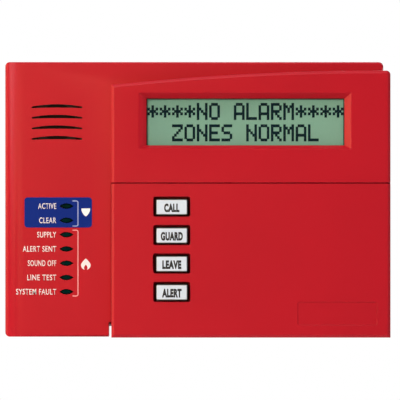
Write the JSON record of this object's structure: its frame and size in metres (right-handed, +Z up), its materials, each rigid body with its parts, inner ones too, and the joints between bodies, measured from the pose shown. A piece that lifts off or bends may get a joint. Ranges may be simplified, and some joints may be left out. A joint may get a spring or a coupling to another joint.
{
  "type": "alarm keypad",
  "caption": "Wall keypad of a fire and burglary alarm: red housing on a wall plate, drop-down door, push keys, status lights, sounder and a two-row character display.",
  "frame": {"origin": "middle of the housing's outline, on the wall face of the back plate", "axes": "+X to the right seen from the front, +Z up, +Y into the wall; the front faces -Y"},
  "size_m": [0.1871, 0.0306, 0.1338],
  "materials": {
    "red_plastic": "satin moulded",
    "grey_plastic": "matt moulded",
    "white_key": "satin moulded",
    "paper": "matt",
    "blue_film": "printed film",
    "clear_window": "clear moulded",
    "display_glass": "polariser film",
    "backlight": "diffuse",
    "dark_lens": "tinted clear",
    "led_resin": "clear resin",
    "circuit_board": "solder mask",
    "black_plastic": "moulded",
    "green_terminal": "moulded",
    "silicone": "silicone",
    "foam": "closed-cell foam",
    "steel": "plated",
    "brass": "plated"
  },
  "bodies": {
    "case": {"back_plate": "grey_plastic", "front_housing": "red_plastic", "display_window": "clear_window", "lcd_frame": "steel", "board_screw_1": "steel", "board_screw_2": "steel", "board_screw_3": "steel", "board_screw_4": "steel", "lcd_glass": "display_glass", "lcd_backlight": "backlight", "lcd_board": "circuit_board", "main_board": "circuit_board", "lcd_header": "black_plastic", "processor_chip": "black_plastic", "sounder": "black_plastic", "led_1": "led_resin", "led_2": "led_resin", "led_3": "led_resin", "led_4": "led_resin", "led_5": "led_resin", "led_6": "led_resin", "led_7": "led_resin", "terminal_block": "green_terminal", "terminal_screw_1": "brass", "terminal_screw_2": "brass", "terminal_screw_3": "brass", "terminal_screw_4": "brass", "sounder_gasket": "foam", "keypad_mat": "silicone", "indicator_lens_1": "dark_lens", "indicator_lens_2": "dark_lens", "indicator_lens_3": "dark_lens", "indicator_lens_4": "dark_lens", "indicator_lens_5": "dark_lens", "indicator_lens_6": "dark_lens", "indicator_lens_7": "dark_lens", "status_label": "blue_film"},
    "door": {"door": "red_plastic", "door_inner_label": "paper"},
    "function_key_1": {"function_key_1": "white_key", "function_key_label_1": "paper"},
    "function_key_2": {"function_key_2": "white_key", "function_key_label_2": "paper"},
    "function_key_3": {"function_key_3": "white_key", "function_key_label_3": "paper"},
    "function_key_4": {"function_key_4": "white_key", "function_key_label_4": "paper"},
    "key_1": {"key_1": "white_key"},
    "key_2": {"key_2": "white_key"},
    "key_3": {"key_3": "white_key"},
    "key_4": {"key_4": "white_key"},
    "key_5": {"key_5": "white_key"},
    "key_6": {"key_6": "white_key"},
    "key_7": {"key_7": "white_key"},
    "key_8": {"key_8": "white_key"},
    "key_9": {"key_9": "white_key"},
    "key_star": {"key_star": "white_key"},
    "key_0": {"key_0": "white_key"},
    "key_hash": {"key_hash": "white_key"}
  },
  "joints": [
    {"name": "door_hinge", "type": "hinge", "parent": "case", "child": "door", "pos_m": [0, -0.0212, -0.0642], "axis": [1, 0, 0], "range_deg": [0, 130]},
    {"name": "function_key_1_travel", "type": "slide", "parent": "case", "child": "function_key_1", "axis": [0, 1, 0], "range_m": [0, 0.0012], "stiffness_N_per_m": 500},
    {"name": "function_key_2_travel", "type": "slide", "parent": "case", "child": "function_key_2", "axis": [0, 1, 0], "range_m": [0, 0.0012], "stiffness_N_per_m": 500},
    {"name": "function_key_3_travel", "type": "slide", "parent": "case", "child": "function_key_3", "axis": [0, 1, 0], "range_m": [0, 0.0012], "stiffness_N_per_m": 500},
    {"name": "function_key_4_travel", "type": "slide", "parent": "case", "child": "function_key_4", "axis": [0, 1, 0], "range_m": [0, 0.0012], "stiffness_N_per_m": 500},
    {"name": "key_1_travel", "type": "slide", "parent": "case", "child": "key_1", "axis": [0, 1, 0], "range_m": [0, 0.0012], "stiffness_N_per_m": 500},
    {"name": "key_2_travel", "type": "slide", "parent": "case", "child": "key_2", "axis": [0, 1, 0], "range_m": [0, 0.0012], "stiffness_N_per_m": 500},
    {"name": "key_3_travel", "type": "slide", "parent": "case", "child": "key_3", "axis": [0, 1, 0], "range_m": [0, 0.0012], "stiffness_N_per_m": 500},
    {"name": "key_4_travel", "type": "slide", "parent": "case", "child": "key_4", "axis": [0, 1, 0], "range_m": [0, 0.0012], "stiffness_N_per_m": 500},
    {"name": "key_5_travel", "type": "slide", "parent": "case", "child": "key_5", "axis": [0, 1, 0], "range_m": [0, 0.0012], "stiffness_N_per_m": 500},
    {"name": "key_6_travel", "type": "slide", "parent": "case", "child": "key_6", "axis": [0, 1, 0], "range_m": [0, 0.0012], "stiffness_N_per_m": 500},
    {"name": "key_7_travel", "type": "slide", "parent": "case", "child": "key_7", "axis": [0, 1, 0], "range_m": [0, 0.0012], "stiffness_N_per_m": 500},
    {"name": "key_8_travel", "type": "slide", "parent": "case", "child": "key_8", "axis": [0, 1, 0], "range_m": [0, 0.0012], "stiffness_N_per_m": 500},
    {"name": "key_9_travel", "type": "slide", "parent": "case", "child": "key_9", "axis": [0, 1, 0], "range_m": [0, 0.0012], "stiffness_N_per_m": 500},
    {"name": "key_star_travel", "type": "slide", "parent": "case", "child": "key_star", "axis": [0, 1, 0], "range_m": [0, 0.0012], "stiffness_N_per_m": 500},
    {"name": "key_0_travel", "type": "slide", "parent": "case", "child": "key_0", "axis": [0, 1, 0], "range_m": [0, 0.0012], "stiffness_N_per_m": 500},
    {"name": "key_hash_travel", "type": "slide", "parent": "case", "child": "key_hash", "axis": [0, 1, 0], "range_m": [0, 0.0012], "stiffness_N_per_m": 500}
  ]
}
